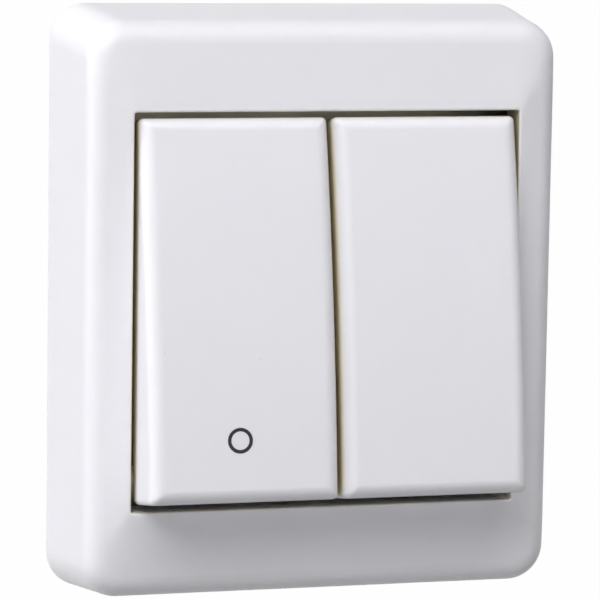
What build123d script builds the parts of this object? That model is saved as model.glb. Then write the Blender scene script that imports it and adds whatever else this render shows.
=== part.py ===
"""Two-gang rocker wall switch for a 60 mm wall box, in millimetres.

The wall is the plane y = 0, the face looks towards -Y and +Z is up. Heights (..._h) are
measured out from the wall, so a negative height lies inside the wall box. The rockers are
drawn level, as at mid travel, and then turned about their pivots to the position that they
rest in: lower end out, upper end in.
"""
import os
from math import radians, sin, tan

from build123d import *

os.makedirs("parts", exist_ok=True)

# Fits
pin_clearance = 0.05        # radial, round pins and plungers in their bores
moving_gap = 0.3            # between pieces that move past each other
seat_gap = 0.2              # pieces dropped into a seat
near = 0.01                 # how close to a height an edge lies to be picked by it

# Frame
frame_width = 72.3
frame_height = 85.0
frame_corner_r = 5.2
wall_draft = 5.65           # degrees, outer wall leans in towards the front
shoulder_h = 18.4           # where the outer wall would meet the sloping face
shoulder_r = 3.6            # rounding between the wall and the face
shoulder_reach = 1.4        # holds that rounding back where the face is narrow or uneven
rim_h = 20.0                # highest part of the frame, round the opening
opening_size = 56.6
opening_corner_r = 0.4
rim_land = 0.4
rim_edge_r = 0.25
frame_wall = 2.0
skirt_wall = 1.4
skirt_depth = 5.5
rib_wall = 1.2
rib_foot = 2.0              # depth of a rib where it meets the outer wall
rib_spread = 17.0           # ribs at this distance each side of the middle

# Rockers
rocker_gap = 0.7            # between the two rockers
rocker_side_gap = 0.65      # between a rocker and the frame
rocker_end_gap = 1.35       # between a rocker's ends and the frame, level
rocker_tilt = 9.5           # degrees each side of level
rocker_end_h = 25.2         # face height at the two ends, level
rocker_crown = 1.0          # how much higher the face is in the middle
rocker_skirt_h = 14.6       # lower edge of the rocker's walls, level
rocker_wall = 1.6
rocker_roof = 2.0
rocker_edge_r = 2.0
rocker_corner_r = 0.8
pivot_h = 18.5

# Toggles, plungers and springs
toggle_length = 14.0
toggle_plate = 2.0
hub_r = 2.7
hub_collar = 2.0            # how far the hub stands out of each side of the toggle
axle_r = 1.2
spring_tube_r = 3.0
spring_bore_r = 2.1
spring_tube_h = 9.0         # lower end of the tube, level
spring_seat_h = 15.6        # closed end of the bore
plunger_tip_h = 6.0
plunger_top_h = 11.4
spring_wire = 0.5
spring_turns = 5
spring_side_clearance = 0.2
clip_wall = 1.2
clip_width = 8.0
clip_catch = 0.6
catch_thickness = 0.9

# Support plate
plate_thickness = 1.0
plate_corner_r = 4.0
fixing_spacing = 60.0
fixing_hole_r = 1.8
side_slot_length = 7.0
side_slot_width = 3.6

# Housing that the support plate is held between
base_size = 44.0
base_corner_cut = 4.5
base_back_h = -16.0
base_wall = 1.8
base_floor = 2.0
divider_wall = 1.6
divider_reach = 5.0         # the divider ends this far above the middle
boss_r = 2.75
screw_inset = 5.2           # housing screws sit this far inside the base's sides
housing_screw_r = 1.25
housing_screw_length = 14.0
screw_head_r = 2.3
screw_head_height = 1.4
drive_slot = 0.6
cover_side_room = 2.3       # from the opening's sides to the cover, where its ledges are
cover_end_room = 4.3        # from the opening's ends to the cover
cover_front_h = 8.0
cover_wall = 2.0
cover_corner_r = 2.0
tower_gap = 0.4             # between a toggle's hub and its tower
tower_room = 1.65           # between a tower and the rocker's side wall
tower_wall = 2.0
tower_root = 9.0
tower_eye_wall = 1.2

# Latches between frame and cover
latch_spread = 14.0
latch_width = 6.0
latch_wall = 1.6
latch_catch = 1.2
latch_catch_height = 1.5
ledge_h = 5.6
ledge_thickness = 1.5
ledge_side_room = 1.0

# Contacts
lever_pivot_h = 4.0
lever_tilt = 6.0            # degrees each side of level, against the rocker
lever_width = 4.6
lever_reach = 9.5
lever_thickness = 0.8
post_thickness = 1.6
strip_thickness = 1.0
strip_width = 4.2
bus_h = -11.0               # back face of the common bar and of the terminal strips
bus_band = 4.0
contact_reach = 8.0
contact_r = 1.5
contact_height = 1.0
pad_reach = 4.6

# Terminals
terminal_side_room = 2.05   # between an output cage and the nearest boss
terminal_end_room = 1.7     # between a cage and the base's wall
strip_end = 3.0             # how far a strip runs on past its terminal
cage_width = 7.0
cage_length = 6.0
cage_wall = 1.2
cage_room = 4.2             # clear height inside a cage
terminal_screw_r = 1.5
terminal_head_r = 2.3
terminal_head_height = 1.6
terminal_head_inset = 0.2   # below the back of the base
wire_hole_r = 1.7

# Derived places
rocker_width = (opening_size - rocker_gap) / 2 - rocker_side_gap
rocker_length = opening_size - 2 * rocker_end_gap
rocker_x = (rocker_gap + rocker_width) / 2
rocker_roof_h = rocker_end_h - rocker_roof
draft_run = shoulder_h * tan(radians(wall_draft))
shoulder_width = frame_width - 2 * draft_run
shoulder_height = frame_height - 2 * draft_run
side_run = (shoulder_width - opening_size) / 2 - rim_land
end_run = (shoulder_height - opening_size) / 2 - rim_land
short_run, long_run = sorted([side_run, end_run])
shoulder_round = min(shoulder_r, shoulder_reach * short_run**2 / long_run)
skirt_size = opening_size + 2 * skirt_wall
plate_inset = frame_wall + plate_thickness * tan(radians(wall_draft)) + seat_gap
plate_width = frame_width - 2 * plate_inset
plate_height = frame_height - 2 * plate_inset
cover_width = opening_size - 2 * cover_side_room
cover_height = opening_size - 2 * cover_end_room
screw_spread = base_size / 2 - screw_inset
output_terminal_x = screw_spread - boss_r - terminal_side_room - cage_width / 2
common_terminal_z = base_size / 2 - base_wall - terminal_end_room - cage_length / 2
output_terminal_z = -common_terminal_z
toggle_width = rocker_width - 2 * (
    rocker_wall + tower_room + tower_wall + tower_gap + hub_collar
)
tower_inner = toggle_width / 2 + hub_collar + tower_gap
tower_outer = tower_inner + tower_wall
tower_top_r = axle_r + pin_clearance + tower_eye_wall
base_front_h = plate_thickness
floor_h = base_back_h + base_floor
plunger_r = spring_bore_r - pin_clearance
spring_r = spring_bore_r - spring_side_clearance - spring_wire / 2
plunger_swing = (
    (pivot_h - plunger_tip_h) * sin(radians(rocker_tilt)) + plunger_r + 2 * moving_gap
)
pad_top_h = (
    lever_pivot_h - contact_height - contact_reach * tan(radians(lever_tilt)) - moving_gap - contact_height
)
latch_x = opening_size / 2 + moving_gap
leg_z = -lever_reach - moving_gap - 1.5 * strip_thickness
cage_back_h = bus_h + strip_thickness / 2 - cage_room / 2 - cage_wall
sides = {"left": -rocker_x, "right": rocker_x}
terminals = [
    (-output_terminal_x, output_terminal_z),
    (output_terminal_x, output_terminal_z),
    (0, common_terminal_z),
]


def facing(h):
    """Plane parallel to the wall at a height, x to the right and y up."""
    return Plane.XZ.offset(h)


def side_on(x):
    """Upright plane across the wall at a place: local x is height, local y is up."""
    return Plane(origin=(x, 0, 0), x_dir=(0, -1, 0), z_dir=(-1, 0, 0))


def from_above(z):
    """Level plane at a place: local x is to the right, local y is height."""
    return Plane(origin=(0, 0, z), x_dir=(1, 0, 0), z_dir=(0, 0, -1))


def save(part, name):
    """Label a finished piece and write it."""
    part.label = name
    export_step(part, f"parts/{name}.step")


def turned(part, axis_h, degrees):
    """Piece turned about the level axis at a height; positive brings its lower end out."""
    return part.rotate(Axis((0, -axis_h, 0), (-1, 0, 0)), degrees)


def save_pair(part, name, axis_h, degrees):
    """Write a piece drawn in the middle once for each rocker, turned to where it rests."""
    for side, x in sides.items():
        save(turned(part.moved(Location((x, 0, 0))), axis_h, degrees), f"{name}_{side}")


# Frame: drafted wall, rounded shoulder, face that rises to the rim of the opening
with BuildPart() as frame:
    with BuildSketch(facing(0)):
        RectangleRounded(frame_width, frame_height, frame_corner_r)
    with BuildSketch(facing(shoulder_h)):
        RectangleRounded(shoulder_width, shoulder_height, frame_corner_r)
    with BuildSketch(facing(rim_h)):
        RectangleRounded(*(2 * [opening_size + 2 * rim_land]), opening_corner_r + rim_land)
    loft(ruled=True)
    shoulder = frame.edges().filter_by_position(Axis.Y, -shoulder_h - near, -shoulder_h + near)
    fillet(shoulder, shoulder_round)
    with BuildSketch(facing(0)):
        RectangleRounded(
            frame_width - 2 * frame_wall, frame_height - 2 * frame_wall, frame_corner_r - frame_wall
        )
    with BuildSketch(facing(shoulder_h - shoulder_r)):
        inner_run = (shoulder_h - shoulder_r) * tan(radians(wall_draft)) + frame_wall
        RectangleRounded(
            frame_width - 2 * inner_run, frame_height - 2 * inner_run, frame_corner_r - frame_wall
        )
    with BuildSketch(facing(rim_h - frame_wall)):
        RectangleRounded(skirt_size, skirt_size, opening_corner_r + skirt_wall)
    loft(ruled=True, mode=Mode.SUBTRACT)
    with BuildSketch(facing(rim_h - skirt_depth)):
        RectangleRounded(skirt_size, skirt_size, opening_corner_r + skirt_wall)
    extrude(amount=skirt_depth - frame_wall / 2)
    rib_root = opening_size / 2 + skirt_wall / 2
    rib_end = shoulder_height / 2 - frame_wall / 2
    rib_low_h = rim_h - skirt_depth
    for x in (-rib_spread, rib_spread):
        with BuildSketch(side_on(x)):
            for end in (-1, 1):
                with BuildLine():
                    Polyline(
                        (rib_low_h, end * rib_root),
                        (rim_h - frame_wall / 2, end * rib_root),
                        (shoulder_h - shoulder_r, end * rib_end),
                        (shoulder_h - shoulder_r - rib_foot, end * rib_end),
                        close=True,
                    )
                make_face()
        extrude(amount=rib_wall / 2, both=True)
    with BuildSketch(facing(0)):
        RectangleRounded(opening_size, opening_size, opening_corner_r)
    extrude(amount=rim_h + 1, mode=Mode.SUBTRACT)
    # Four latch arms hang from the rim of the opening and catch under the cover's ledges
    latch_low_h = ledge_h - ledge_thickness - moving_gap - latch_catch_height
    for z in (-latch_spread, latch_spread):
        with BuildSketch(from_above(z)) as arm:
            with BuildLine():
                Polyline(
                    (latch_x, rim_h - frame_wall / 2),
                    (latch_x + latch_wall, rim_h - frame_wall / 2),
                    (latch_x + latch_wall, latch_low_h),
                    (latch_x, latch_low_h),
                    (latch_x - latch_catch, latch_low_h + latch_catch_height),
                    (latch_x, latch_low_h + latch_catch_height),
                    close=True,
                )
            make_face()
            mirror(about=Plane.YZ)
        extrude(amount=latch_width / 2, both=True)
    land = frame.faces().sort_by(Axis.Y)[0]
    fillet(land.inner_wires()[0].edges(), rim_edge_r)
save(frame.part, "frame")

# Support plate: steel, lies on the wall round the box
with BuildPart() as support_plate:
    window = base_size + 2 * seat_gap
    with BuildSketch(facing(0)):
        RectangleRounded(plate_width, plate_height, plate_corner_r)
        Rectangle(window, window, mode=Mode.SUBTRACT)
        with GridLocations(0, fixing_spacing, 1, 2):
            Circle(fixing_hole_r, mode=Mode.SUBTRACT)
        with GridLocations(fixing_spacing - side_slot_width, 0, 2, 1):
            SlotOverall(side_slot_length, side_slot_width, rotation=90, mode=Mode.SUBTRACT)
    extrude(amount=plate_thickness)
save(support_plate.part, "support_plate")

# Base: open box in the wall, with corner bosses, a divider, rests and wire holes
with BuildPart() as insert_base:
    half = base_size / 2
    with BuildSketch(facing(base_back_h)) as outline:
        Rectangle(base_size, base_size)
        chamfer(outline.vertices(), base_corner_cut)
    extrude(amount=base_front_h - base_back_h)
    with BuildSketch(facing(floor_h)):
        offset(outline.sketch, -base_wall)
    extrude(amount=base_front_h - floor_h, mode=Mode.SUBTRACT)
    with BuildSketch(facing(floor_h)):
        with GridLocations(2 * screw_spread, 2 * screw_spread, 2, 2):
            Circle(boss_r)
        with Locations((0, (divider_reach - half) / 2 - base_wall / 4)):
            Rectangle(divider_wall, half + divider_reach - base_wall / 2)
    extrude(amount=base_front_h - floor_h)
    with BuildSketch(facing(floor_h)):
        for x in sides.values():
            with Locations((x, 0)):
                Rectangle(pad_reach, bus_band)
            with Locations((x, leg_z)):
                Rectangle(pad_reach, strip_thickness)
        with Locations((0, common_terminal_z - cage_length)):
            Rectangle(bus_band, strip_thickness)
    extrude(amount=bus_h - floor_h)
    with BuildSketch(facing(bus_h)):
        Rectangle(2 * rocker_x, bus_band + 2 * seat_gap)
        with Locations((0, divider_reach / 2)):
            Rectangle(strip_width + 2 * seat_gap, divider_reach)
    extrude(amount=strip_thickness + seat_gap, mode=Mode.SUBTRACT)
    with BuildSketch(facing(base_front_h)):
        with GridLocations(2 * screw_spread, 2 * screw_spread, 2, 2):
            Circle(housing_screw_r + pin_clearance)
    extrude(amount=plate_thickness - housing_screw_length, mode=Mode.SUBTRACT)
    with BuildSketch(facing(base_back_h)):
        with Locations(*terminals):
            Circle(terminal_head_r + seat_gap)
    extrude(amount=base_floor, mode=Mode.SUBTRACT)
    wire_h = bus_h + strip_thickness + cage_room / 4
    for x, z in terminals:
        with BuildSketch(from_above(half if z > 0 else -half)):
            with Locations((x, wire_h)):
                Circle(wire_hole_r)
        extrude(amount=base_wall, both=True, mode=Mode.SUBTRACT)
save(insert_base.part, "insert_base")

# Cover: closes the housing, carries the towers for the rockers and the latch ledges
with BuildPart() as insert_cover:
    with BuildSketch(facing(plate_thickness)):
        RectangleRounded(cover_width, cover_height, cover_corner_r)
    extrude(amount=cover_front_h - plate_thickness)
    fillet(insert_cover.faces().sort_by(Axis.Y)[0].edges(), cover_corner_r / 3)
    with BuildSketch(facing(plate_thickness)):
        with GridLocations(0, 2 * latch_spread, 1, 2):
            Rectangle(2 * (latch_x - moving_gap), latch_width + 2 * ledge_side_room)
    extrude(amount=ledge_h - plate_thickness)
    with BuildSketch(facing(plate_thickness)):
        with GridLocations(cover_width + latch_width, 0, 2, 1):
            Rectangle(latch_width, cover_height)
    extrude(amount=ledge_h - ledge_thickness - plate_thickness, mode=Mode.SUBTRACT)
    with BuildSketch(facing(plate_thickness)):
        offset(outline.sketch, -base_wall)
        with GridLocations(2 * screw_spread, 2 * screw_spread, 2, 2):
            Circle(boss_r, mode=Mode.SUBTRACT)
    extrude(amount=cover_front_h - cover_wall - plate_thickness, mode=Mode.SUBTRACT)
    tower_middle = (tower_inner + tower_outer) / 2
    for x in sides.values():
        for reach in (-tower_middle, tower_middle):
            with BuildSketch(side_on(x + reach)):
                with BuildLine():
                    Polyline(
                        (pivot_h, tower_top_r),
                        (cover_front_h, tower_root / 2),
                        (cover_front_h - cover_wall / 2, tower_root / 2),
                        (cover_front_h - cover_wall / 2, -tower_root / 2),
                        (cover_front_h, -tower_root / 2),
                        (pivot_h, -tower_top_r),
                    )
                    ThreePointArc(
                        (pivot_h, -tower_top_r), (pivot_h + tower_top_r, 0), (pivot_h, tower_top_r)
                    )
                make_face()
                with Locations((pivot_h, 0)):
                    Circle(axle_r + pin_clearance, mode=Mode.SUBTRACT)
            extrude(amount=tower_wall / 2, both=True)
    with BuildSketch(facing(plate_thickness)):
        with GridLocations(2 * screw_spread, 2 * screw_spread, 2, 2):
            Circle(housing_screw_r + pin_clearance)
        for x in sides.values():
            with Locations((x, 0)):
                Rectangle(2 * (plunger_r + moving_gap), 2 * plunger_swing)
    extrude(amount=cover_front_h - plate_thickness, mode=Mode.SUBTRACT)
save(insert_cover.part, "insert_cover")

# Housing screws: clamp cover, plate and base together from the front
with BuildPart() as housing_screws:
    with BuildSketch(facing(cover_front_h)):
        with GridLocations(2 * screw_spread, 2 * screw_spread, 2, 2):
            Circle(screw_head_r)
    extrude(amount=screw_head_height)
    fillet(housing_screws.faces().sort_by(Axis.Y)[:4].edges(), screw_head_height / 3)
    with BuildSketch(facing(cover_front_h)):
        with GridLocations(2 * screw_spread, 2 * screw_spread, 2, 2):
            Circle(housing_screw_r)
    extrude(amount=-housing_screw_length - cover_front_h + 2 * plate_thickness)
    with BuildSketch(facing(cover_front_h + screw_head_height)):
        with GridLocations(2 * screw_spread, 2 * screw_spread, 2, 2):
            Rectangle(2 * screw_head_r, drive_slot)
    extrude(amount=-screw_head_height / 2, mode=Mode.SUBTRACT)
save(housing_screws.part, "housing_screws")

# Contacts: common bar with two posts, rocking levers, terminal strips with fixed contacts
with BuildPart() as common_bar:
    with BuildSketch(facing(bus_h)):
        Rectangle(2 * rocker_x + pad_reach, bus_band)
        with Locations((0, (common_terminal_z + strip_end) / 2)):
            Rectangle(strip_width, common_terminal_z + strip_end)
    extrude(amount=strip_thickness)
    for x in sides.values():
        with BuildSketch(side_on(x)):
            with BuildLine():
                Polyline(
                    (lever_pivot_h, post_thickness / 2),
                    (bus_h, post_thickness / 2),
                    (bus_h, -post_thickness / 2),
                    (lever_pivot_h, -post_thickness / 2),
                )
                ThreePointArc(
                    (lever_pivot_h, -post_thickness / 2),
                    (lever_pivot_h + post_thickness / 2, 0),
                    (lever_pivot_h, post_thickness / 2),
                )
            make_face()
        extrude(amount=pad_reach / 2, both=True)
save(common_bar.part, "common_bar")

# Lever: brass strip with a trough in the middle that rocks on the round top of the post
trough_r = post_thickness / 2 + pin_clearance
with BuildPart() as contact_lever:
    with BuildSketch(side_on(0)):
        with Locations((lever_pivot_h + lever_thickness / 2, 0)):
            Rectangle(lever_thickness, 2 * lever_reach)
        with Locations((lever_pivot_h, 0)):
            Circle(trough_r + lever_thickness)
            Circle(trough_r, mode=Mode.SUBTRACT)
        with Locations((lever_pivot_h - lever_reach / 2, 0)):
            Rectangle(lever_reach, 2 * lever_reach, mode=Mode.SUBTRACT)
    extrude(amount=lever_width / 2, both=True)
save_pair(contact_lever.part, "contact_lever", lever_pivot_h, -lever_tilt)

with BuildPart() as moving_contact:
    with BuildSketch(facing(lever_pivot_h)):
        with Locations((0, -contact_reach)):
            Circle(contact_r)
    extrude(amount=-contact_height)
    fillet(moving_contact.faces().sort_by(Axis.Y)[-1].edges(), contact_height / 3)
save_pair(moving_contact.part, "moving_contact", lever_pivot_h, -lever_tilt)

# Output strip of the right rocker: terminal tongue, leg and contact pad, folded from one blank
with BuildPart() as output_strip:
    tongue_end = output_terminal_z - strip_end
    inner_x = output_terminal_x - strip_width / 2
    outer_x = rocker_x + pad_reach / 2
    with BuildSketch(facing(bus_h)):
        with Locations((output_terminal_x, (tongue_end + leg_z) / 2)):
            Rectangle(strip_width, leg_z - tongue_end)
        with Locations(((inner_x + outer_x) / 2, leg_z)):
            Rectangle(outer_x - inner_x, strip_thickness)
    extrude(amount=strip_thickness)
    with BuildSketch(facing(bus_h)):
        with Locations((rocker_x, leg_z)):
            Rectangle(pad_reach, strip_thickness)
    extrude(amount=pad_top_h - bus_h)
    with BuildSketch(facing(pad_top_h)):
        pad_length = contact_r - contact_reach - leg_z + strip_thickness / 2
        with Locations((rocker_x, leg_z - strip_thickness / 2 + pad_length / 2)):
            Rectangle(pad_reach, pad_length)
    extrude(amount=-strip_thickness)
save(output_strip.part, "output_strip_right")
save(output_strip.part.mirror(Plane.YZ), "output_strip_left")

with BuildPart() as fixed_contact:
    with BuildSketch(facing(pad_top_h)):
        with Locations((0, -contact_reach)):
            Circle(contact_r)
    extrude(amount=contact_height)
    fillet(fixed_contact.faces().sort_by(Axis.Y)[0].edges(), contact_height / 3)
save_pair(fixed_contact.part, "fixed_contact", pivot_h, 0)

# Terminals: a cage round each strip, drawn tight by a screw from the back
with BuildPart() as terminal_cages:
    for x, z in terminals:
        with BuildSketch(from_above(z)):
            with Locations((x, cage_back_h + cage_wall + cage_room / 2)):
                Rectangle(cage_width, cage_room + 2 * cage_wall)
                Rectangle(cage_width - 2 * cage_wall, cage_room, mode=Mode.SUBTRACT)
        extrude(amount=cage_length / 2, both=True)
    with BuildSketch(facing(cage_back_h)):
        with Locations(*terminals):
            Circle(terminal_screw_r + pin_clearance)
    extrude(amount=cage_wall, mode=Mode.SUBTRACT)
save(terminal_cages.part, "terminal_cages")

with BuildPart() as terminal_screws:
    head_h = base_back_h + terminal_head_inset
    with BuildSketch(facing(head_h)):
        with Locations(*terminals):
            Circle(terminal_head_r)
    extrude(amount=terminal_head_height)
    with BuildSketch(facing(head_h)):
        with Locations(*terminals):
            Circle(terminal_screw_r)
    extrude(amount=bus_h - head_h)
    with BuildSketch(facing(head_h)):
        with Locations(*terminals):
            Rectangle(2 * terminal_head_r, drive_slot)
    extrude(amount=terminal_head_height / 2, mode=Mode.SUBTRACT)
save(terminal_screws.part, "terminal_screws")

# Rocker: crowned cap with rounded edges, hollow behind, with two clips for its toggle
half_length = rocker_length / 2
with BuildPart() as rocker:
    with BuildSketch(side_on(0)):
        with BuildLine():
            Polyline(
                (rocker_end_h, half_length),
                (rocker_skirt_h, half_length),
                (rocker_skirt_h, -half_length),
                (rocker_end_h, -half_length),
            )
            ThreePointArc(
                (rocker_end_h, -half_length),
                (rocker_end_h + rocker_crown, 0),
                (rocker_end_h, half_length),
            )
        make_face()
    extrude(amount=rocker_width / 2, both=True)
    fillet(rocker.faces().sort_by(Axis.Y)[0].edges(), rocker_edge_r)
    fillet(rocker.edges().filter_by(Axis.Y), rocker_corner_r)
    with BuildSketch(facing(rocker_skirt_h)):
        Rectangle(rocker_width - 2 * rocker_wall, rocker_length - 2 * rocker_wall)
    extrude(amount=rocker_roof_h - rocker_skirt_h, mode=Mode.SUBTRACT)
    for end in (-1, 1):
        clip_z = end * toggle_length / 2
        with BuildSketch(side_on(0)):
            with BuildLine():
                Polyline(
                    (rocker_roof_h, clip_z),
                    (rocker_roof_h - toggle_plate, clip_z),
                    (rocker_roof_h - toggle_plate, clip_z - end * clip_catch),
                    (rocker_roof_h - toggle_plate - catch_thickness, clip_z),
                    (rocker_roof_h - toggle_plate - catch_thickness, clip_z + end * clip_wall),
                    (rocker_roof_h, clip_z + end * clip_wall),
                    close=True,
                )
            make_face()
        extrude(amount=clip_width / 2, both=True)
save_pair(rocker.part, "rocker", pivot_h, rocker_tilt)

# Toggle: clipped under the rocker, with two axle stubs and the spring's tube
with BuildPart() as toggle:
    with BuildSketch(facing(rocker_roof_h)):
        Rectangle(toggle_width, toggle_length)
    extrude(amount=-toggle_plate)
    with BuildSketch(side_on(0)):
        with Locations((pivot_h, 0)):
            Circle(hub_r)
        with Locations(((pivot_h + rocker_roof_h - toggle_plate) / 2, 0)):
            Rectangle(rocker_roof_h - toggle_plate - pivot_h, 2 * hub_r)
    extrude(amount=toggle_width / 2, both=True)
    with BuildSketch(side_on(0)):
        with Locations((pivot_h, 0)):
            Circle(hub_r - pin_clearance)
    extrude(amount=tower_inner - tower_gap, both=True)
    with BuildSketch(side_on(0)):
        with Locations((pivot_h, 0)):
            Circle(axle_r)
    extrude(amount=tower_outer, both=True)
    with BuildSketch(facing(spring_tube_h)):
        Circle(spring_tube_r)
    extrude(amount=pivot_h - spring_tube_h)
    with BuildSketch(facing(spring_tube_h)):
        Circle(spring_bore_r)
    extrude(amount=spring_seat_h - spring_tube_h, mode=Mode.SUBTRACT)
save_pair(toggle.part, "toggle", pivot_h, rocker_tilt)

with BuildPart() as plunger:
    with BuildSketch(facing(plunger_tip_h)):
        Circle(plunger_r)
    extrude(amount=plunger_top_h - plunger_tip_h)
    fillet(plunger.faces().sort_by(Axis.Y)[-1].edges(), plunger_r * 0.8)
save_pair(plunger.part, "plunger", pivot_h, rocker_tilt)

coil_height = spring_seat_h - plunger_top_h - spring_wire
with BuildPart() as spring:
    with BuildLine():
        coil = Helix(
            pitch=coil_height / spring_turns,
            height=coil_height,
            radius=spring_r,
            center=(0, -plunger_top_h - spring_wire / 2, 0),
            direction=(0, -1, 0),
        )
    with BuildSketch(Plane(origin=coil @ 0, z_dir=coil % 0)):
        Circle(spring_wire / 2)
    sweep(is_frenet=True)
save_pair(spring.part, "spring", pivot_h, rocker_tilt)
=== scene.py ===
"""Looks of the two-gang rocker wall switch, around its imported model.

Lengths are in metres. The wall is the plane y = 0, the switch faces -Y and +Z is up, as in the
frame. Each sub-assembly is a class that dresses its pieces and builds what is printed or fitted
on them, and each finish is a small frozen class that makes its own procedural material.
"""

import logging
from dataclasses import dataclass, field
from enum import Enum
from math import cos, radians, sin
from typing import Any

import bpy
from mathutils import Matrix, Vector

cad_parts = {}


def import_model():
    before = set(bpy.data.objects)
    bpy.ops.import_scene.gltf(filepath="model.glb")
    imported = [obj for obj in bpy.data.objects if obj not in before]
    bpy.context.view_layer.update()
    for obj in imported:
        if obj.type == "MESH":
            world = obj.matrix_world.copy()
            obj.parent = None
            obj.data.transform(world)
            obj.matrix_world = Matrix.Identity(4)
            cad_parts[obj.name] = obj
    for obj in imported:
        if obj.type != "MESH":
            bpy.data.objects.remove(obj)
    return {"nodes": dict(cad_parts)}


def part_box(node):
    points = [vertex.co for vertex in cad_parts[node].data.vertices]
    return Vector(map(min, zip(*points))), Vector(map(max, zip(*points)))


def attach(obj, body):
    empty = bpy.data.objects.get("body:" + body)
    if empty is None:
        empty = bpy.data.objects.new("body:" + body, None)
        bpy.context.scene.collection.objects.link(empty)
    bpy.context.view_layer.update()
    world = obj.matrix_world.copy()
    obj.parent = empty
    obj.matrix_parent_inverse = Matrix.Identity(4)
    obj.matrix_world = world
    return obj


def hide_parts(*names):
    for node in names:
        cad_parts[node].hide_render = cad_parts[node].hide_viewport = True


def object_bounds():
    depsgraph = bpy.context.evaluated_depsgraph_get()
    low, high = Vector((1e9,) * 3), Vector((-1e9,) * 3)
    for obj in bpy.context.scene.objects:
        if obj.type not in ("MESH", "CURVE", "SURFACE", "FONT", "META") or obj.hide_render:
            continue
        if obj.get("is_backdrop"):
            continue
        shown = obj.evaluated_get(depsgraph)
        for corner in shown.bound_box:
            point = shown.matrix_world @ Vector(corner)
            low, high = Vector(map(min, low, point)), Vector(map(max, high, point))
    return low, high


log = logging.getLogger("switch")

MM = 0.001
RAY_SAMPLES = 4        # short rays behind each sample of the rounding and of the gap mask
NOISE_MIDDLE = 0.5     # what a noise comes to on average
Triple = tuple[float, float, float]
Colour = Triple


class Socket:
    """A node's output, with arithmetic that adds Math nodes to its sheet."""

    def __init__(self, sheet: "ShaderSheet", output: bpy.types.NodeSocket) -> None:
        """Keep the sheet that the output belongs to.

        Args:
            sheet: the material's node sheet.
            output: the output socket that is wrapped.
        """
        self.sheet = sheet
        self.output = output

    def _math(self, operation: str, first: Any, second: Any) -> "Socket":
        """Add one Math node.

        Args:
            operation: name of the Math node's operation.
            first: first operand, a socket or a number.
            second: second operand, a socket or a number.

        Returns:
            The node's result.
        """
        return self.sheet.node("ShaderNodeMath", {"operation": operation}, {0: first, 1: second})["Value"]

    def __add__(self, other: Any) -> "Socket":
        """Sum."""
        return self._math("ADD", self, other)

    def __radd__(self, other: Any) -> "Socket":
        """Sum with the number first."""
        return self._math("ADD", other, self)

    def __sub__(self, other: Any) -> "Socket":
        """Difference."""
        return self._math("SUBTRACT", self, other)

    def __rsub__(self, other: Any) -> "Socket":
        """Difference with the number first."""
        return self._math("SUBTRACT", other, self)

    def __mul__(self, other: Any) -> "Socket":
        """Product."""
        return self._math("MULTIPLY", self, other)

    def __rmul__(self, other: Any) -> "Socket":
        """Product with the number first."""
        return self._math("MULTIPLY", other, self)

    def clamped(self) -> "Socket":
        """The value held between 0 and 1."""
        settings = {"operation": "MULTIPLY", "use_clamp": True}
        return self.sheet.node("ShaderNodeMath", settings, {0: self, 1: 1.0})["Value"]

    def above(self, start: float, gain: float) -> "Socket":
        """What the value has over start, times gain, held between 0 and 1."""
        return ((self - start) * gain).clamped()


class PlacedNode:
    """A node whose outputs are read by name."""

    def __init__(self, sheet: "ShaderSheet", node: bpy.types.Node) -> None:
        """Keep the node and its sheet.

        Args:
            sheet: the material's node sheet.
            node: the node that was added.
        """
        self.sheet = sheet
        self.raw = node

    def __getitem__(self, name: str | int) -> Socket:
        """Output of that name or number."""
        return Socket(self.sheet, self.raw.outputs[name])


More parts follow.
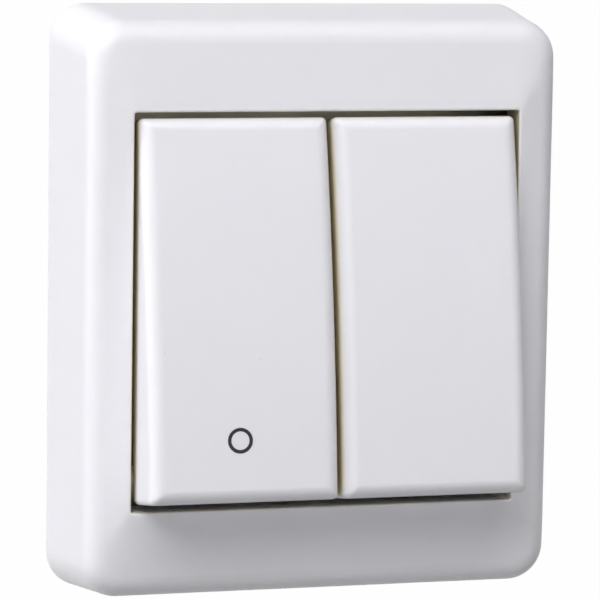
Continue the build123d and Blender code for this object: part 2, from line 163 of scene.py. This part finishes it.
class ShaderSheet:
    """The node tree of one material or of the world."""

    def __init__(self, tree: bpy.types.NodeTree) -> None:
        """Start from an empty tree.

        Args:
            tree: the tree that is filled.
        """
        self.tree = tree
        tree.nodes.clear()

    def node(self, kind: str, settings: dict[str, Any] | None = None,
             sockets: dict[str | int, Any] | None = None) -> PlacedNode:
        """Add a node, set it up and feed its sockets.

        Args:
            kind: the node's type.
            settings: the node's own settings, set before its sockets.
            sockets: values or links, by the socket's name or number.

        Returns:
            The node, with its outputs by name.
        """
        made = self.tree.nodes.new(kind)
        for name, value in (settings or {}).items():
            setattr(made, name, value)
        for name, value in (sockets or {}).items():
            if isinstance(value, Socket):
                self.tree.links.new(value.output, made.inputs[name])
            else:
                made.inputs[name].default_value = value
        return PlacedNode(self, made)

    def place(self) -> Socket:
        """The point of the surface, in the object's own metres."""
        return self.node("ShaderNodeTexCoord")["Object"]

    def noise(self, size: float, stretch: Triple = (1.0, 1.0, 1.0), detail: float = 2.0) -> Socket:
        """Noise with features of a real size.

        Args:
            size: width of one feature, in metres.
            stretch: how much finer the noise is along each axis.
            detail: layers of finer noise.

        Returns:
            The noise, about 0.5 in the middle.
        """
        where = self.node("ShaderNodeMapping", {}, {"Vector": self.place(), "Scale": stretch})["Vector"]
        return self.node("ShaderNodeTexNoise", {}, {"Vector": where, "Scale": 1 / size, "Detail": detail})[0]

    def rounded(self, radius: float) -> Socket:
        """Normals that round off sharp edges, as moulding and stamping leave them.

        Args:
            radius: radius of the rounding, in metres.

        Returns:
            The normal.
        """
        return self.node("ShaderNodeBevel", {"samples": RAY_SAMPLES}, {"Radius": radius})["Normal"]

    def edges(self, rounded: Socket, gain: float = 4.0) -> Socket:
        """Mask that is 1 on sharp edges.

        Args:
            rounded: the normals that round them off.
            gain: how soon the mask is full as the normal turns away.

        Returns:
            The mask, 0 on flat and gently curved faces.
        """
        flat = self.node("ShaderNodeNewGeometry")["Normal"]
        settings = {"operation": "DOT_PRODUCT"}
        along = self.node("ShaderNodeVectorMath", settings, {0: rounded, 1: flat})["Value"]
        return ((1.0 - along) * gain).clamped()

    def blend(self, amount: Any, low: Any, high: Any) -> Socket:
        """Mix two colours.

        Args:
            amount: share of the second colour.
            low: the first colour.
            high: the second colour.

        Returns:
            The mixed colour.
        """
        pair = {6: (*low, 1.0) if isinstance(low, tuple) else low,
                7: (*high, 1.0) if isinstance(high, tuple) else high}
        return self.node("ShaderNodeMix", {"data_type": "RGBA"}, {0: amount, **pair})[2]

    def specks(self, spacing: float, radius: float) -> Socket:
        """Sparse round specks in the material.

        Args:
            spacing: distance between neighbouring specks, in metres.
            radius: radius of a speck, in metres.

        Returns:
            The mask, 1 inside a speck.
        """
        settings = {"feature": "F1", "distance": "EUCLIDEAN"}
        away = self.node("ShaderNodeTexVoronoi", settings, {"Vector": self.place(), "Scale": 1 / spacing})
        return ((radius / spacing - away["Distance"]) * (2 * spacing / radius)).clamped()

    def sheltered(self, reach: float) -> Socket:
        """Mask of what lies deep in gaps and corners.

        Args:
            reach: how far away a neighbour still shelters, in metres.

        Returns:
            The mask, 0 in the open and 1 where nothing is open.
        """
        settings = {"samples": RAY_SAMPLES}
        return 1.0 - self.node("ShaderNodeAmbientOcclusion", settings, {"Distance": reach})["AO"]

    def bump(self, height: Socket, depth: float, normal: Socket) -> Socket:
        """Surface relief.

        Args:
            height: relief from 0 to 1.
            depth: what a height of 1 stands for, in metres.
            normal: the normal that it stands on.

        Returns:
            The normal with that relief.
        """
        sockets = {"Height": height, "Distance": depth, "Strength": 1.0, "Normal": normal}
        return self.node("ShaderNodeBump", {}, sockets)["Normal"]


def new_material(name: str) -> tuple[bpy.types.Material, ShaderSheet]:
    """Make an empty node material.

    Args:
        name: the material's name.

    Returns:
        The material and its sheet.
    """
    material = bpy.data.materials.new(name)
    material.use_nodes = True
    return material, ShaderSheet(material.node_tree)


def close(sheet: ShaderSheet, shader: PlacedNode) -> None:
    """Send a shader to the sheet's surface output.

    Args:
        sheet: the material's sheet.
        shader: the shader node.
    """
    sheet.node("ShaderNodeOutputMaterial", {}, {"Surface": shader[0]})


@dataclass(frozen=True)
class Plastic:
    """Moulded plastic, glossy or matt.

    A field that ends in _tone is a share of colour, and one that ends in _gloss is how far its
    mark moves the roughness.
    """

    name: str
    colour: Colour
    shade: Colour
    roughness: float
    grain: float
    grain_depth: float
    grain_gloss: float = 0.12
    flow: float = 18 * MM
    flow_stretch: Triple = (1.0, 1.0, 0.6)
    flow_layers: float = 3.0
    flow_tone: float = 0.6
    flow_gloss: float = 0.06
    edge: float = 0.2 * MM
    edge_tone: float = 0.5
    edge_gloss: float = 0.05
    speck: Colour = (0.36, 0.35, 0.33)
    speck_tone: float = 0.6
    speck_spacing: float = 5.3 * MM
    speck_radius: float = 0.1 * MM
    # The gap colours below are painted shade: a cream tint at a gap's rim and an olive brown deep inside it,
    # laid on by an occlusion mask.
    gap_rim_painted_shade: Colour | None = None
    gap_edge_start: float = 0.25
    gap_edge_gain: float = 2.5
    gap_deep_painted_shade: Colour | None = None
    gap_depth_start: float = 0.6
    gap_depth_gain: float = 3.0
    gap_depth_gloss: float = 0.5
    gap_reach: float = 3.0 * MM
    refraction: float = 1.45
    shine: float = 0.5
    translucence: float = 0.0
    bleed: float = 0.9 * MM
    bleed_by_colour: Triple = (1.0, 0.74, 0.42)

    def material(self) -> bpy.types.Material:
        """Make the material: flow marks, grain, few specks, edges worn smooth, and gaps with painted warm
        shade and rougher walls.

        Returns:
            The material.
        """
        material, sheet = new_material(self.name)
        flow = sheet.noise(self.flow, self.flow_stretch, self.flow_layers)
        grain = sheet.noise(self.grain)
        rounded = sheet.rounded(self.edge)
        edge = sheet.edges(rounded)
        tone = (flow * self.flow_tone + edge * self.edge_tone).clamped()
        clean = sheet.blend(tone, self.shade, self.colour)
        marks = self.roughness + (grain - NOISE_MIDDLE) * self.grain_gloss
        roughness = marks + (flow - NOISE_MIDDLE) * self.flow_gloss - edge * self.edge_gloss
        # Painted shade: the occlusion mask tints the colour cream at a gap's rim and olive brown deep
        # inside; the deep walls also turn rougher.
        if self.gap_rim_painted_shade and self.gap_deep_painted_shade:
            deep = sheet.sheltered(self.gap_reach)
            rougher_and_shaded = deep.above(self.gap_depth_start, self.gap_depth_gain)
            near = deep.above(self.gap_edge_start, self.gap_edge_gain)
            rim_shaded = sheet.blend(near, clean, self.gap_rim_painted_shade)
            clean = sheet.blend(rougher_and_shaded, rim_shaded, self.gap_deep_painted_shade)
            roughness = roughness + rougher_and_shaded * self.gap_depth_gloss
        specks = sheet.specks(self.speck_spacing, self.speck_radius)
        shader = sheet.node("ShaderNodeBsdfPrincipled", {"subsurface_method": "BURLEY"}, {
            "Base Color": sheet.blend(specks * self.speck_tone, clean, self.speck),
            "Roughness": roughness,
            "IOR": self.refraction,
            "Specular IOR Level": self.shine,
            "Subsurface Weight": self.translucence,
            "Subsurface Radius": self.bleed_by_colour,
            "Subsurface Scale": self.bleed,
            "Normal": sheet.bump(grain, self.grain_depth, rounded),
        })
        close(sheet, shader)
        return material


class Lay(Enum):
    """Direction that a metal's marks run in, as how much finer they are along each axis."""

    UPRIGHT = (9.0, 1.0, 0.12)
    ACROSS = (0.12, 1.0, 9.0)
    EVEN = (1.0, 1.0, 1.0)


@dataclass(frozen=True)
class Metal:
    """Plated, stamped or drawn metal."""

    name: str
    colour: Colour
    tarnish: Colour
    roughness: float
    lay: Lay
    mark: float = 0.5 * MM
    mark_layers: float = 4.0
    mark_depth: float = 0.004 * MM
    mark_gloss: float = 0.2
    edge: float = 0.12 * MM
    edge_gloss: float = 0.08
    cloud: float = 9 * MM
    cloud_layers: float = 3.0
    cloud_start: float = 0.3
    cloud_gain: float = 1.6
    cloud_gloss: float = 0.06

    def material(self) -> bpy.types.Material:
        """Make the material: lay marks, cloudy tarnish and brighter edges.

        Returns:
            The material.
        """
        material, sheet = new_material(self.name)
        marks = sheet.noise(self.mark, self.lay.value, self.mark_layers)
        cloud = sheet.noise(self.cloud, detail=self.cloud_layers)
        rounded = sheet.rounded(self.edge)
        edge = sheet.edges(rounded)
        dull = cloud.above(self.cloud_start, self.cloud_gain) * (1.0 - edge)
        marked = self.roughness + (marks - NOISE_MIDDLE) * self.mark_gloss
        shader = sheet.node("ShaderNodeBsdfPrincipled", {}, {
            "Base Color": sheet.blend(dull, self.colour, self.tarnish),
            "Metallic": 1.0,
            "Roughness": marked + dull * self.cloud_gloss - edge * self.edge_gloss,
            "Normal": sheet.bump(marks, self.mark_depth, rounded),
        })
        close(sheet, shader)
        return material


@dataclass(frozen=True)
class Ink:
    """Pad-printed ink, thin at its edge."""

    name: str
    colour: Colour
    worn: Colour
    thickness: float = 0.003 * MM
    roughness: float = 0.45
    shine: float = 0.25
    blot: float = 0.12 * MM
    blot_layers: float = 3.0
    thin_start: float = 0.55
    thin_gain: float = 4.0
    thin_gloss: float = 0.15

    def material(self) -> bpy.types.Material:
        """Make the material: near black ink, paler and rougher where it is thin.

        Returns:
            The material.
        """
        material, sheet = new_material(self.name)
        thin = sheet.noise(self.blot, detail=self.blot_layers).above(self.thin_start, self.thin_gain)
        shader = sheet.node("ShaderNodeBsdfPrincipled", {}, {
            "Base Color": sheet.blend(thin, self.colour, self.worn),
            "Roughness": self.roughness + thin * self.thin_gloss,
            "Specular IOR Level": self.shine,
            "Normal": sheet.bump(thin, self.thickness, sheet.rounded(self.thickness)),
        })
        close(sheet, shader)
        return material


# The white plastic's gap colours are painted shade for the gaps round and between the rockers.
WHITE = Plastic(
    "white_gloss_plastic", colour=(0.815, 0.809, 0.852), shade=(0.79, 0.784, 0.827), roughness=0.44,
    grain=0.35 * MM, grain_depth=0.0008 * MM, gap_rim_painted_shade=(0.82, 0.77, 0.62), gap_deep_painted_shade=(0.50, 0.43, 0.27),
    translucence=0.5)
# The insert's dark olive is partly its own plastic and partly painted shade: it is set to the colour of the
# shaded gaps round the rockers.
INSERT = Plastic(
    "insert_matt_plastic", colour=(0.34, 0.31, 0.22), shade=(0.30, 0.27, 0.19), roughness=0.55,
    grain=0.22 * MM, grain_depth=0.006 * MM, shine=0.15)
NYLON = Plastic(
    "toggle_nylon", colour=(0.70, 0.68, 0.61), shade=(0.66, 0.635, 0.565), roughness=0.48,
    grain=0.18 * MM, grain_depth=0.003 * MM)
ZINC = Metal(
    "passivated_zinc_sheet", colour=(0.66, 0.63, 0.52), tarnish=(0.60, 0.565, 0.44), roughness=0.36,
    lay=Lay.UPRIGHT)
SCREW = Metal(
    "zinc_plated_screw", colour=(0.62, 0.63, 0.63), tarnish=(0.45, 0.44, 0.40), roughness=0.30,
    lay=Lay.EVEN, mark=0.25 * MM)
SPRING = Metal(
    "drawn_spring_wire", colour=(0.46, 0.46, 0.47), tarnish=(0.34, 0.33, 0.32), roughness=0.28,
    lay=Lay.EVEN, mark=0.12 * MM)
BRASS = Metal(
    "stamped_brass", colour=(0.80, 0.62, 0.30), tarnish=(0.52, 0.36, 0.17), roughness=0.28,
    lay=Lay.ACROSS)
SILVER = Metal(
    "silver_contact", colour=(0.86, 0.85, 0.82), tarnish=(0.62, 0.60, 0.55), roughness=0.22,
    lay=Lay.EVEN, mark=0.3 * MM)
INK = Ink("print_ink", colour=(0.016, 0.016, 0.018), worn=(0.07, 0.07, 0.075))


@dataclass
class SubAssembly:
    """CAD nodes that share a job, each with its finish."""

    finishes: dict[str, Any] = field(default_factory=dict)

    def dress(self, nodes: dict[str, bpy.types.Object], made: dict[str, bpy.types.Material]) -> None:
        """Give each node its material.

        Args:
            nodes: the CAD nodes by name.
            made: the materials by name, filled as they are first used.
        """
        for name, finish in self.finishes.items():
            if finish.name not in made:
                made[finish.name] = finish.material()
            node = nodes[name]
            node.data.materials.clear()
            node.data.materials.append(made[finish.name])
            log.info("%s has %s", name, finish.name)


def pair(name: str, finish: Any) -> dict[str, Any]:
    """Finish of a piece that each rocker has.

    Args:
        name: the piece's name without its side.
        finish: its finish.

    Returns:
        The finish by node name.
    """
    return {f"{name}_left": finish, f"{name}_right": finish}


@dataclass
class CoverFrame(SubAssembly):
    """The outer frame round both rockers."""

    finishes: dict[str, Any] = field(default_factory=lambda: {"frame": WHITE})


@dataclass
class Rockers(SubAssembly):
    """Both rocker caps, and the ring that is printed on the left one."""

    finishes: dict[str, Any] = field(default_factory=lambda: pair("rocker", WHITE))
    ring_radius: float = 1.8 * MM
    ring_stroke: float = 0.5 * MM
    ring_sides: int = 128
    ring_centre: Vector = field(default_factory=lambda: Vector((-14.85 * MM, 0.0, -16.83 * MM)))
    ink_thickness: float = 0.02 * MM
    ink_sunk: float = 0.04 * MM

    def print_ring(self, carrier: bpy.types.Object) -> bpy.types.Object:
        """Model the ring in edit mode and lay it on the rocker's face.

        Args:
            carrier: the rocker that it is printed on.

        Returns:
            The ring, riding on the left rocker.
        """
        start = Vector((self.ring_centre.x, -1.0, self.ring_centre.z))
        hit, point, normal, _ = carrier.ray_cast(start, Vector((0.0, 1.0, 0.0)))
        if not hit:
            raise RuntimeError("the printed ring misses its rocker")
        bpy.ops.object.select_all(action="DESELECT")
        bpy.ops.mesh.primitive_circle_add(
            vertices=self.ring_sides, radius=self.ring_radius, fill_type="NGON")
        ring = bpy.context.object
        ring.name = "printed_ring"
        bpy.ops.object.mode_set(mode="EDIT")
        bpy.ops.mesh.inset(thickness=self.ring_stroke)
        bpy.ops.mesh.delete(type="ONLY_FACE")
        bpy.ops.mesh.select_all(action="SELECT")
        bpy.ops.mesh.extrude_region_move(
            TRANSFORM_OT_translate={"value": (0.0, 0.0, self.ink_thickness + self.ink_sunk)})
        bpy.ops.mesh.select_all(action="SELECT")
        bpy.ops.mesh.normals_make_consistent(inside=False)
        bpy.ops.object.mode_set(mode="OBJECT")
        seat = point - normal * self.ink_sunk
        turn = normal.to_track_quat("Z", "Y").to_matrix().to_4x4()
        ring.data.transform(Matrix.Translation(seat) @ turn)
        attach(ring, "left_rocker")
        log.info("%s lies at %s", ring.name, [round(c / MM, 2) for c in point])
        return ring


class Drive(Enum):
    """Side that a screw is driven from, as the turn about X that brings its head there."""

    FRONT = 90.0
    BACK = -90.0


@dataclass(frozen=True)
class SlottedScrew:
    """A slotted cheese-head screw with a rolled thread.

    It is modelled in millimetres and scaled as it is set in. A turn of thread is a valley, a flank,
    a crest and a flank: valley_share and crest_share are parts of its pitch, and both flanks share
    the rest. below_slot is how far under the slot the thread starts, and smooth_below is in degrees.
    """

    head_radius: float
    head_height: float
    head_round: float
    shank_radius: float
    length: float
    pitch: float
    slot_width: float
    slot_depth: float
    thread_depth: float = 0.24
    valley_share: float = 0.3
    crest_share: float = 0.1
    below_slot: float = 0.2
    head_sides: int = 48
    round_steps: int = 4
    turn_steps: int = 24
    weld: float = 0.001
    smooth_below: float = 35.0

    def head(self) -> bpy.types.Object:
        """Model the head with its rounded rim, its face at the origin and upwards.

        Returns:
            The head.
        """
        bpy.ops.object.select_all(action="DESELECT")
        middle = (0.0, 0.0, -self.head_height / 2)
        bpy.ops.mesh.primitive_cylinder_add(
            vertices=self.head_sides, radius=self.head_radius, depth=self.head_height, location=middle)
        head = bpy.context.object
        bpy.ops.object.transform_apply(location=True)
        bpy.ops.object.mode_set(mode="EDIT")
        bpy.ops.mesh.select_mode(type="EDGE")
        bpy.ops.mesh.select_all(action="DESELECT")
        bpy.ops.object.mode_set(mode="OBJECT")
        points = head.data.vertices
        for edge in head.data.edges:
            edge.select = all(points[v].co.z > -self.head_height / 2 for v in edge.vertices)
        bpy.ops.object.mode_set(mode="EDIT")
        bpy.ops.mesh.bevel(offset=self.head_round, segments=self.round_steps, affect="EDGES")
        bpy.ops.object.mode_set(mode="OBJECT")
        return head

    def thread(self) -> bpy.types.Object:
        """Model the threaded shank: one ridge drawn point by point, then screwed down its length.

        Returns:
            The shank, its upper end inside the head.
        """
        bpy.ops.object.select_all(action="DESELECT")
        bpy.ops.mesh.primitive_plane_add(size=1.0)
        shank = bpy.context.object
        bpy.ops.object.mode_set(mode="EDIT")
        bpy.ops.mesh.select_mode(type="VERT")
        bpy.ops.mesh.select_all(action="SELECT")
        bpy.ops.mesh.merge(type="CENTER")
        bpy.ops.object.mode_set(mode="OBJECT")
        top = self.slot_depth + self.below_slot
        shank.data.vertices[0].co = (self.shank_radius - self.thread_depth, 0.0, -top)
        bpy.ops.object.mode_set(mode="EDIT")
        bpy.ops.mesh.select_all(action="SELECT")
        valley, crest = self.pitch * self.valley_share, self.pitch * self.crest_share
        flank = (self.pitch - valley - crest) / 2
        ridge = ((0.0, valley), (self.thread_depth, flank), (0.0, crest), (-self.thread_depth, flank))
        for out, down in ridge:
            bpy.ops.mesh.extrude_region_move(TRANSFORM_OT_translate={"value": (out, 0.0, -down)})
        bpy.ops.mesh.select_all(action="SELECT")
        turns = int((self.length - top) / self.pitch) - 1
        bpy.ops.mesh.screw(
            steps=self.turn_steps, turns=turns, center=(0.0, 0.0, 0.0), axis=(0.0, 0.0, 1.0))
        bpy.ops.mesh.select_all(action="SELECT")
        bpy.ops.mesh.remove_doubles(threshold=self.weld)
        bpy.ops.mesh.fill_holes(sides=0)
        bpy.ops.mesh.select_all(action="SELECT")
        bpy.ops.mesh.normals_make_consistent(inside=False)
        bpy.ops.object.mode_set(mode="OBJECT")
        return shank

    def combine(self, screw: bpy.types.Object, tool: bpy.types.Object, operation: str) -> None:
        """Join a solid to the screw, or cut it out of it.

        Args:
            screw: the solid that stays.
            tool: the solid that is used up.
            operation: the Boolean modifier's operation.
        """
        joint = screw.modifiers.new("joint", "BOOLEAN")
        joint.operation = operation
        joint.solver = "EXACT"
        joint.object = tool
        bpy.context.view_layer.objects.active = screw
        bpy.ops.object.modifier_apply(modifier="joint")
        bpy.data.objects.remove(tool)

    def build(self) -> bpy.types.Object:
        """Model the whole screw.

        Returns:
            The screw, pointing down, its head's face at the origin.
        """
        screw = self.head()
        self.combine(screw, self.thread(), "UNION")
        bpy.ops.object.select_all(action="DESELECT")
        bpy.ops.mesh.primitive_cube_add(size=1.0)
        slot = bpy.context.object
        past_both_sides, past_the_face = 3 * self.head_radius, 2 * self.slot_depth
        slot.scale = (past_both_sides, self.slot_width, past_the_face)
        bpy.ops.object.transform_apply(scale=True)
        self.combine(screw, slot, "DIFFERENCE")
        return screw

    def set_in(self, name: str, drive: Drive, depth: float,
               places: list[tuple[float, float]]) -> bpy.types.Object:
        """Model the screw and set a copy of it in each place.

        Args:
            name: the piece's name.
            drive: the side that it is driven from.
            depth: y of the head's face, in metres.
            places: x and z of each screw, in metres.

        Returns:
            All the screws as one piece.
        """
        master = self.build()
        turn = Matrix.Rotation(radians(drive.value), 4, "X") @ Matrix.Scale(MM, 4)
        copies = []
        for x, z in places:
            mesh = master.data.copy()
            mesh.transform(Matrix.Translation((x, depth, z)) @ turn)
            copy = bpy.data.objects.new(name, mesh)
            bpy.context.scene.collection.objects.link(copy)
            copies.append(copy)
        bpy.data.objects.remove(master)
        bpy.ops.object.select_all(action="DESELECT")
        for copy in copies:
            copy.select_set(True)
        bpy.context.view_layer.objects.active = copies[0]
        bpy.ops.object.join()
        piece = bpy.context.object
        bpy.ops.object.shade_smooth_by_angle(angle=radians(self.smooth_below))
        piece.data.materials.clear()
        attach(piece, "housing")
        triangles = sum(len(face.vertices) - 2 for face in piece.data.polygons)
        log.info("%s has %d triangles", name, triangles)
        return piece


@dataclass
class Insert(SubAssembly):
    """Base, cover, support plate and the screws that hold them together."""

    finishes: dict[str, Any] = field(default_factory=lambda: {
        "insert_base": INSERT, "insert_cover": INSERT, "support_plate": ZINC})
    screw: SlottedScrew = SlottedScrew(
        head_radius=2.3, head_height=1.4, head_round=0.46, shank_radius=1.25, length=21.4, pitch=0.45,
        slot_width=0.6, slot_depth=0.7)

    def drive_screws(self, steel: bpy.types.Material) -> None:
        """Model the four screws that clamp cover, plate and base.

        Args:
            steel: their finish.
        """
        low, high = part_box("housing_screws")
        inset = self.screw.head_radius * MM
        reach_x, reach_z = high[0] - inset, high[2] - inset
        places = [(x, z) for x in (-reach_x, reach_x) for z in (-reach_z, reach_z)]
        piece = self.screw.set_in("clamping_screws", Drive.FRONT, low[1], places)
        piece.data.materials.append(steel)
        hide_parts("housing_screws")


@dataclass
class Mechanism(SubAssembly):
    """What a rocker works: toggles, plungers, springs, levers and contacts."""

    finishes: dict[str, Any] = field(default_factory=lambda: {
        **pair("toggle", NYLON), **pair("plunger", NYLON), **pair("spring", SPRING),
        **pair("contact_lever", BRASS), **pair("moving_contact", SILVER), **pair("fixed_contact", SILVER),
        **pair("output_strip", BRASS), "common_bar": BRASS})


@dataclass
class Terminals(SubAssembly):
    """Cages and screws that take the wires."""

    finishes: dict[str, Any] = field(default_factory=lambda: {"terminal_cages": ZINC})
    screw: SlottedScrew = SlottedScrew(
        head_radius=2.3, head_height=1.6, head_round=0.2, shank_radius=1.5, length=4.8, pitch=0.5,
        slot_width=0.6, slot_depth=0.8)

    def drive_screws(self, steel: bpy.types.Material) -> None:
        """Model the three screws that draw the cages, two below and one above.

        Args:
            steel: their finish.
        """
        low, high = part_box("terminal_screws")
        inset = self.screw.head_radius * MM
        reach = high[0] - inset
        places = [(-reach, low[2] + inset), (reach, low[2] + inset), (0.0, high[2] - inset)]
        piece = self.screw.set_in("cage_screws", Drive.BACK, high[1], places)
        piece.data.materials.append(steel)
        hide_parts("terminal_screws")


@dataclass(frozen=True)
class Lamp:
    """A soft rectangular lamp aimed at the switch."""

    name: str
    azimuth: float
    elevation: float
    size: float
    power: float
    distance: float = 1.4

    def build(self) -> None:
        """Add the lamp; its azimuth is measured from straight in front, positive to the right."""
        side, up = radians(self.azimuth), radians(self.elevation)
        place = Vector((sin(side) * cos(up), -cos(side) * cos(up), sin(up))) * self.distance
        data = bpy.data.lights.new(self.name, "AREA")
        data.shape = "SQUARE"
        data.size = self.size
        data.energy = self.power
        lamp = bpy.data.objects.new(self.name, data)
        lamp.matrix_world = Matrix.Translation(place) @ place.to_track_quat("Z", "Y").to_matrix().to_4x4()
        bpy.context.scene.collection.objects.link(lamp)


@dataclass(frozen=True)
class Studio:
    """Camera, lamps, world, floor and backdrop."""

    yaw: float = 16.157
    pitch: float = 7.399
    roll: float = 0.891
    target: Triple = (-0.56 * MM, -8.0 * MM, -0.05 * MM)
    distance: float = 520.88 * MM
    focal_pixels: float = 3589.4
    picture_pixels: float = 600.0
    sensor: float = 36.0
    sight: float = 20.0
    floor_drop: float = 0.12
    floor_size: float = 3.0
    backdrop_height: float = 2.0
    sweep: float = 0.5
    sweep_steps: int = 16
    ambient: float = 0.13
    floor_paint: float = 0.34
    floor_white: float = 0.99
    lamps: tuple[Lamp, ...] = (
        Lamp("key_lamp", azimuth=-38.0, elevation=42.0, size=0.7, power=10.3),
        Lamp("left_lamp", azimuth=-102.0, elevation=12.0, size=0.8, power=11.8),
        Lamp("top_lamp", azimuth=0.0, elevation=64.0, size=0.7, power=6.6),
        Lamp("front_lamp", azimuth=0.0, elevation=0.0, size=0.8, power=4.8),
    )

    def camera(self) -> None:
        """Put the camera where the photograph was taken from."""
        side, down, turn = radians(self.yaw), radians(self.pitch), radians(self.roll)
        ahead = Vector((sin(side) * cos(down), cos(side) * cos(down), -sin(down)))
        right = Vector((cos(side), -sin(side), 0.0))
        up = right.cross(ahead)
        across = right * cos(turn) + up * sin(turn)
        upward = up * cos(turn) - right * sin(turn)
        data = bpy.data.cameras.new("camera")
        data.sensor_width = self.sensor
        data.lens = self.focal_pixels / self.picture_pixels * self.sensor
        data.clip_end = self.sight
        camera = bpy.data.objects.new("camera", data)
        axes = Matrix((across, upward, -ahead)).transposed().to_4x4()
        camera.matrix_world = Matrix.Translation(Vector(self.target) - ahead * self.distance) @ axes
        bpy.context.scene.collection.objects.link(camera)
        bpy.context.scene.camera = camera

    def seen_directly(self, sheet: ShaderSheet) -> Socket:
        """1 for rays from the camera, in mirrors and through glass.

        Args:
            sheet: the sheet that asks.

        Returns:
            The mask.
        """
        path = sheet.node("ShaderNodeLightPath")
        return (path["Is Camera Ray"] + path["Is Glossy Ray"] + path["Is Transmission Ray"]).clamped()

    def world(self) -> None:
        """Soft ambient light, and white where the world itself is seen."""
        world = bpy.data.worlds.new("studio")
        world.use_nodes = True
        bpy.context.scene.world = world
        sheet = ShaderSheet(world.node_tree)
        strength = self.ambient + self.seen_directly(sheet) * (1.0 - self.ambient)
        light = sheet.node("ShaderNodeBackground", {}, {"Color": (1.0, 1.0, 1.0, 1.0), "Strength": strength})
        sheet.node("ShaderNodeOutputWorld", {}, {"Surface": light[0]})

    def stage(self, lowest: float) -> None:
        """Floor and backdrop, swept from one sheet with a wide curve between them.

        Args:
            lowest: the switch's lowest height.
        """
        bpy.ops.object.select_all(action="DESELECT")
        bpy.ops.mesh.primitive_plane_add(size=self.floor_size, location=(0.0, 0.0, lowest - self.floor_drop))
        floor = bpy.context.object
        floor.name = "floor"
        bpy.ops.object.transform_apply(location=True, rotation=True, scale=True)
        back = self.floor_size / 2
        bpy.ops.object.mode_set(mode="EDIT")
        bpy.ops.mesh.select_all(action="DESELECT")
        bpy.ops.object.mode_set(mode="OBJECT")
        for edge in floor.data.edges:
            edge.select = all(floor.data.vertices[v].co.y > back - MM for v in edge.vertices)
        bpy.ops.object.mode_set(mode="EDIT")
        bpy.ops.mesh.extrude_region_move(
            TRANSFORM_OT_translate={"value": (0.0, 0.0, self.backdrop_height)})
        bpy.ops.object.mode_set(mode="OBJECT")
        bend = floor.modifiers.new("sweep", "BEVEL")
        bend.width = self.sweep
        bend.segments = self.sweep_steps
        bpy.ops.object.modifier_apply(modifier="sweep")
        bpy.ops.object.shade_smooth()
        material, sheet = new_material("pale_stage")
        paint = sheet.node("ShaderNodeBsdfDiffuse", {}, {"Color": (*[self.floor_paint] * 3, 1.0)})
        white = sheet.node("ShaderNodeEmission", {}, {"Color": (1.0, 1.0, 1.0, 1.0), "Strength": 1.0})
        share = self.seen_directly(sheet) * self.floor_white
        close(sheet, sheet.node("ShaderNodeMixShader", {}, {0: share, 1: paint[0], 2: white[0]}))
        floor.data.materials.append(material)
        floor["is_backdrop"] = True

    def build(self, lowest: float) -> None:
        """Set up everything round the switch.

        Args:
            lowest: the switch's lowest height.
        """
        bpy.context.scene.view_settings.view_transform = "Standard"
        self.camera()
        self.world()
        for lamp in self.lamps:
            lamp.build()
        self.stage(lowest)


def main() -> None:
    """Build the looks of the switch."""
    logging.basicConfig(level=logging.INFO, format="%(name)s: %(message)s")
    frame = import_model()
    cad_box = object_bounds()
    nodes = frame["nodes"]
    made: dict[str, bpy.types.Material] = {}
    rockers = Rockers()
    insert, terminals = Insert(), Terminals()
    for part in (CoverFrame(), rockers, insert, Mechanism(), terminals):
        part.dress(nodes, made)
    steel = SCREW.material()
    insert.drive_screws(steel)
    terminals.drive_screws(steel)
    ring = rockers.print_ring(nodes["rocker_left"])
    ring.data.materials.append(INK.material())
    Studio().build(cad_box[0][2])


if __name__ == "__main__":
    main()
